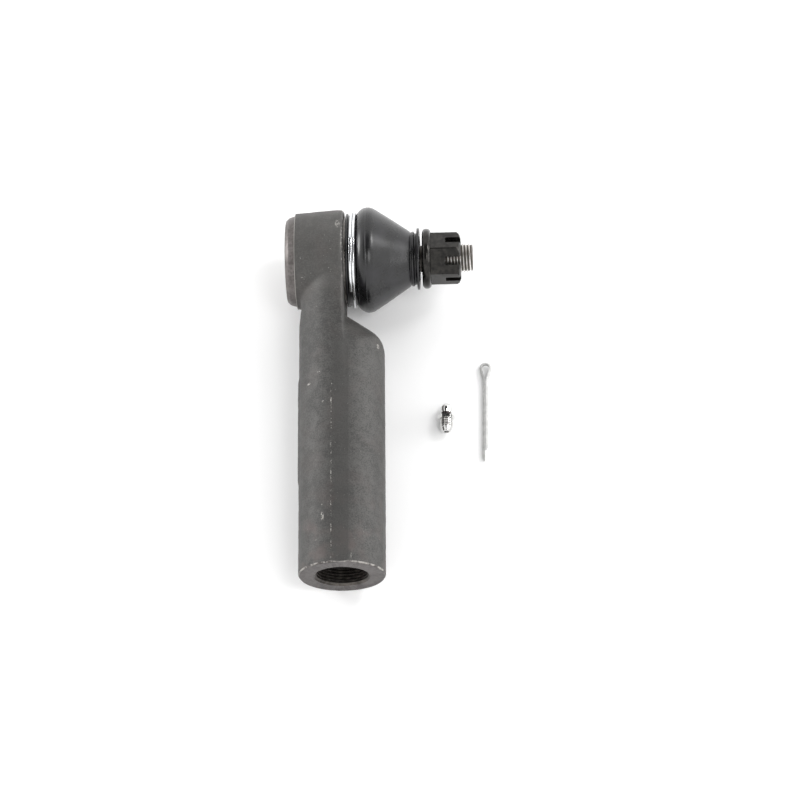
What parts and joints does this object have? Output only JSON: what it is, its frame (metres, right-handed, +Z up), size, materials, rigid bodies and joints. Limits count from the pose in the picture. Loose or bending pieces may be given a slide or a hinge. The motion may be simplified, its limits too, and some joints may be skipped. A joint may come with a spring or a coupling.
{
  "type": "tie rod end",
  "caption": "Steering tie rod end: ball joint with a greased socket, rubber boot and slotted nut, on a long internally threaded barrel; grease fitting and cotter pin loose beside it.",
  "frame": {"origin": "centre of the ball joint's ball, which is also where the stud's axis crosses the barrel's axis", "axes": "+X along the stud towards its threaded tip; -Y along the barrel towards its tapped end; +Z up as the part lies on its side"},
  "size_m": [0.0982, 0.1886, 0.0505],
  "materials": {
    "forged_steel": "dark phosphate-coated forging, matte",
    "cap_steel": "phosphated pressed steel",
    "spring_steel": "blued spring steel",
    "bearing_steel": "sintered bearing metal, oiled",
    "stud_steel": "ground alloy steel with cut thread",
    "boot_rubber": "satin black moulded rubber",
    "ring_wire": "bright flat wire",
    "sleeve_steel": "plain steel",
    "nut_black_oxide": "black oxide, semi-matte",
    "zinc_wire": "dull zinc-plated wire",
    "fitting_plate": "bright nickel plate"
  },
  "bodies": {
    "housing": {"housing": "forged_steel", "end_cap": "cap_steel", "preload_spring": "spring_steel", "lower_bearing": "bearing_steel", "upper_bearing": "bearing_steel", "boot_retaining_ring": "ring_wire"},
    "boot": {"dust_boot": "boot_rubber"},
    "boot_sleeve": {"boot_neck_ring": "sleeve_steel"},
    "stud": {"ball_stud": "stud_steel"},
    "nut": {"slotted_nut": "nut_black_oxide"},
    "cotter_pin": {"cotter_pin": "zinc_wire"},
    "grease_fitting": {"grease_fitting": "fitting_plate", "fitting_spring": "spring_steel"},
    "check_ball": {"fitting_check_ball": "fitting_plate"}
  },
  "joints": [
    {"name": "stud_swing_z", "type": "hinge", "parent": "housing", "child": "boot", "pos_m": [0, 0, 0], "axis": [0, 0, 1], "range_deg": [-18, 18], "deforming": ["dust_boot"]},
    {"name": "stud_swing_y", "type": "hinge", "parent": "boot", "child": "boot_sleeve", "pos_m": [0, 0, 0], "axis": [0, 1, 0], "range_deg": [-18, 18]},
    {"name": "stud_spin", "type": "hinge", "parent": "boot_sleeve", "child": "stud", "pos_m": [0, 0, 0], "axis": [1, 0, 0], "continuous": true},
    {"name": "nut_run_off", "type": "slide", "parent": "stud", "child": "nut", "axis": [1, 0, 0], "range_m": [0, 0.03]},
    {"name": "cotter_pin_lift", "type": "slide", "parent": "housing", "child": "cotter_pin", "axis": [0, 0, 1], "range_m": [0, 0.06]},
    {"name": "grease_fitting_lift", "type": "slide", "parent": "housing", "child": "grease_fitting", "axis": [0, 0, 1], "range_m": [0, 0.06]},
    {"name": "check_ball_press", "type": "slide", "parent": "grease_fitting", "child": "check_ball", "axis": [0, -0.9997, 0.0249], "range_m": [0, 0.001], "stiffness_N_per_m": 40, "deforming": ["fitting_spring"]}
  ]
}
